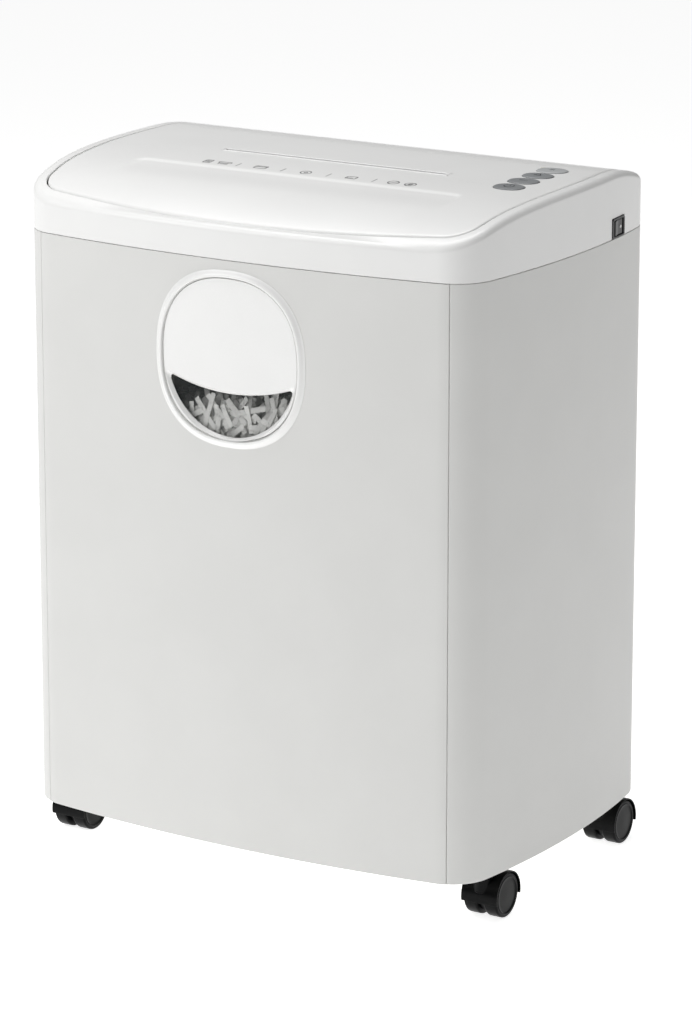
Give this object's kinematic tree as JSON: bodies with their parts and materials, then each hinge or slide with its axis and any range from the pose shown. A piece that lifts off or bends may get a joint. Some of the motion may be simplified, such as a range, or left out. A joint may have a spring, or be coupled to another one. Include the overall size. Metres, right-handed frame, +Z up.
{
  "type": "paper shredder",
  "caption": "Auto-feed paper shredder: bowed white cabinet on casters, pull-out bin with round window, hinged feed lid with hand slot and oval keys.",
  "frame": {"origin": "on the floor under the middle of the body", "axes": "+Z up, the front with the bin faces -Y, +X towards the side with the mains switch"},
  "size_m": [0.4574, 0.327, 0.598],
  "materials": {
    "shell_white": "fine moulded texture",
    "lid_white": "satin moulded",
    "base_grey": "moulded",
    "tray_grey": "moulded",
    "bin_grey": "moulded",
    "trim_white": "polished moulded",
    "clear_window": "clear moulded",
    "key_grey": "satin moulded",
    "lens_clear": "diffuse",
    "switch_black": "moulded",
    "caster_black": "moulded nylon",
    "tread_black": "moulded",
    "plate_steel": "rolled and punched",
    "cutter_steel": "ground and hardened",
    "rod_steel": "turned",
    "bronze": "sintered",
    "gear_nylon": "moulded nylon",
    "roller_rubber": "moulded",
    "belt_rubber": "moulded",
    "motor_steel": "zinc plated",
    "motor_black": "moulded",
    "board_green": "resin board",
    "guide_grey": "moulded"
  },
  "bodies": {
    "cabinet": {"side_shell_left": "shell_white", "side_shell_right": "shell_white", "back_panel": "shell_white", "base_plate": "base_grey", "bin_rails": "base_grey", "cutter_deck": "base_grey", "cutter_side_plate_left": "plate_steel", "cutter_side_plate_right": "plate_steel", "tie_rods": "rod_steel", "cutter_bushes": "bronze", "stripper_combs": "plate_steel", "throat_guide": "guide_grey", "gearbox_plate": "plate_steel", "motor_can": "motor_steel", "motor_end_bell": "motor_black", "feed_belts": "belt_rubber", "control_board": "board_green", "interlock_switch": "switch_black", "power_inlet": "switch_black", "case_screws": "rod_steel", "head_rim": "shell_white", "feed_tray": "tray_grey", "lid_hinge_pins": "rod_steel", "switch_housing": "switch_black"},
    "auto_feed_lid": {"lid_cover": "lid_white", "lid_inner_panel": "base_grey", "slot_liner": "trim_white", "key_board": "board_green", "led_lens": "lens_clear"},
    "bin_drawer": {"bin_front_panel": "shell_white", "window_bezel": "trim_white", "window_cover": "trim_white", "window_pane": "clear_window", "bin_tub": "bin_grey"},
    "key_power": {"key_power": "key_grey"},
    "key_reverse": {"key_reverse": "key_grey"},
    "key_auto": {"key_auto": "key_grey"},
    "key_forward": {"key_forward": "key_grey"},
    "power_rocker": {"power_rocker": "switch_black"},
    "rear_cutter": {"rear_cutter": "cutter_steel", "rear_sync_gear": "cutter_steel", "output_gear": "cutter_steel"},
    "front_cutter": {"front_cutter": "cutter_steel", "front_sync_gear": "cutter_steel"},
    "reduction_gear": {"reduction_gear": "gear_nylon"},
    "motor_rotor": {"motor_rotor": "rod_steel"},
    "front_feed_roller": {"front_feed_roller": "roller_rubber"},
    "rear_feed_roller": {"rear_feed_roller": "roller_rubber"},
    "caster_fl": {"caster_hood_fl": "caster_black"},
    "wheel_fl_outer": {"wheel_fl_outer": "tread_black"},
    "wheel_fl_inner": {"wheel_fl_inner": "tread_black"},
    "caster_fr": {"caster_hood_fr": "caster_black"},
    "wheel_fr_outer": {"wheel_fr_outer": "tread_black"},
    "wheel_fr_inner": {"wheel_fr_inner": "tread_black"},
    "caster_rl": {"caster_hood_rl": "caster_black"},
    "wheel_rl_outer": {"wheel_rl_outer": "tread_black"},
    "wheel_rl_inner": {"wheel_rl_inner": "tread_black"},
    "caster_rr": {"caster_hood_rr": "caster_black"},
    "wheel_rr_outer": {"wheel_rr_outer": "tread_black"},
    "wheel_rr_inner": {"wheel_rr_inner": "tread_black"}
  },
  "joints": [
    {"name": "auto_feed_lid", "type": "hinge", "parent": "cabinet", "child": "auto_feed_lid", "pos_m": [0, 0.142, 0.5758], "axis": [-1, 0, 0], "range_deg": [0, 75]},
    {"name": "bin_drawer", "type": "slide", "parent": "cabinet", "child": "bin_drawer", "axis": [0, -1, 0], "range_m": [0, 0.25]},
    {"name": "cutter_drive", "type": "hinge", "parent": "cabinet", "child": "rear_cutter", "pos_m": [0, 0.018, 0.496], "axis": [1, 0, 0], "continuous": true},
    {"name": "drive_front_cutter", "type": "hinge", "parent": "cabinet", "child": "front_cutter", "pos_m": [0, -0.012, 0.496], "axis": [1, 0, 0], "continuous": true},
    {"name": "drive_reduction_gear", "type": "hinge", "parent": "cabinet", "child": "reduction_gear", "pos_m": [0, 0.0555, 0.496], "axis": [1, 0, 0], "continuous": true},
    {"name": "drive_motor_rotor", "type": "hinge", "parent": "cabinet", "child": "motor_rotor", "pos_m": [0, 0.0995, 0.496], "axis": [1, 0, 0], "continuous": true},
    {"name": "drive_front_roller", "type": "hinge", "parent": "cabinet", "child": "front_feed_roller", "pos_m": [0, -0.039, 0.539], "axis": [1, 0, 0], "continuous": true},
    {"name": "drive_rear_roller", "type": "hinge", "parent": "cabinet", "child": "rear_feed_roller", "pos_m": [0, 0.045, 0.539], "axis": [1, 0, 0], "continuous": true},
    {"name": "key_power", "type": "slide", "parent": "auto_feed_lid", "child": "key_power", "axis": [0, 0, -1], "range_m": [0, 0.0008], "stiffness_N_per_m": 400, "springref_m": -0.0005},
    {"name": "key_reverse", "type": "slide", "parent": "auto_feed_lid", "child": "key_reverse", "axis": [0, 0, -1], "range_m": [0, 0.0008], "stiffness_N_per_m": 400, "springref_m": -0.0005},
    {"name": "key_auto", "type": "slide", "parent": "auto_feed_lid", "child": "key_auto", "axis": [0, 0, -1], "range_m": [0, 0.0008], "stiffness_N_per_m": 400, "springref_m": -0.0005},
    {"name": "key_forward", "type": "slide", "parent": "auto_feed_lid", "child": "key_forward", "axis": [0, 0, -1], "range_m": [0, 0.0008], "stiffness_N_per_m": 400, "springref_m": -0.0005},
    {"name": "power_rocker", "type": "hinge", "parent": "cabinet", "child": "power_rocker", "pos_m": [0.22061, 0.08205, 0.5504], "axis": [0, 0, -1], "range_deg": [0, 16]},
    {"name": "swivel_fl", "type": "hinge", "parent": "cabinet", "child": "caster_fl", "pos_m": [-0.205, -0.1, 0.05], "axis": [0, 0, 1], "continuous": true},
    {"name": "wheel_fl_outer", "type": "hinge", "parent": "caster_fl", "child": "wheel_fl_outer", "pos_m": [-0.205, -0.087, 0.019], "axis": [1, 0, 0], "continuous": true},
    {"name": "wheel_fl_inner", "type": "hinge", "parent": "caster_fl", "child": "wheel_fl_inner", "pos_m": [-0.205, -0.087, 0.019], "axis": [1, 0, 0], "continuous": true},
    {"name": "swivel_fr", "type": "hinge", "parent": "cabinet", "child": "caster_fr", "pos_m": [0.205, -0.1, 0.05], "axis": [0, 0, 1], "continuous": true},
    {"name": "wheel_fr_outer", "type": "hinge", "parent": "caster_fr", "child": "wheel_fr_outer", "pos_m": [0.205, -0.087, 0.019], "axis": [1, 0, 0], "continuous": true},
    {"name": "wheel_fr_inner", "type": "hinge", "parent": "caster_fr", "child": "wheel_fr_inner", "pos_m": [0.205, -0.087, 0.019], "axis": [1, 0, 0], "continuous": true},
    {"name": "swivel_rl", "type": "hinge", "parent": "cabinet", "child": "caster_rl", "pos_m": [-0.205, 0.107, 0.05], "axis": [0, 0, 1], "continuous": true},
    {"name": "wheel_rl_outer", "type": "hinge", "parent": "caster_rl", "child": "wheel_rl_outer", "pos_m": [-0.205, 0.12, 0.019], "axis": [1, 0, 0], "continuous": true},
    {"name": "wheel_rl_inner", "type": "hinge", "parent": "caster_rl", "child": "wheel_rl_inner", "pos_m": [-0.205, 0.12, 0.019], "axis": [1, 0, 0], "continuous": true},
    {"name": "swivel_rr", "type": "hinge", "parent": "cabinet", "child": "caster_rr", "pos_m": [0.205, 0.107, 0.05], "axis": [0, 0, 1], "continuous": true},
    {"name": "wheel_rr_outer", "type": "hinge", "parent": "caster_rr", "child": "wheel_rr_outer", "pos_m": [0.205, 0.12, 0.019], "axis": [1, 0, 0], "continuous": true},
    {"name": "wheel_rr_inner", "type": "hinge", "parent": "caster_rr", "child": "wheel_rr_inner", "pos_m": [0.205, 0.12, 0.019], "axis": [1, 0, 0], "continuous": true}
  ],
  "couplings": [
    {"joint": "drive_front_cutter", "follows": "cutter_drive", "ratio": -1},
    {"joint": "drive_reduction_gear", "follows": "cutter_drive", "ratio": -2.125},
    {"joint": "drive_motor_rotor", "follows": "cutter_drive", "ratio": 9.5625},
    {"joint": "drive_front_roller", "follows": "cutter_drive", "ratio": -1},
    {"joint": "drive_rear_roller", "follows": "cutter_drive", "ratio": 1}
  ]
}
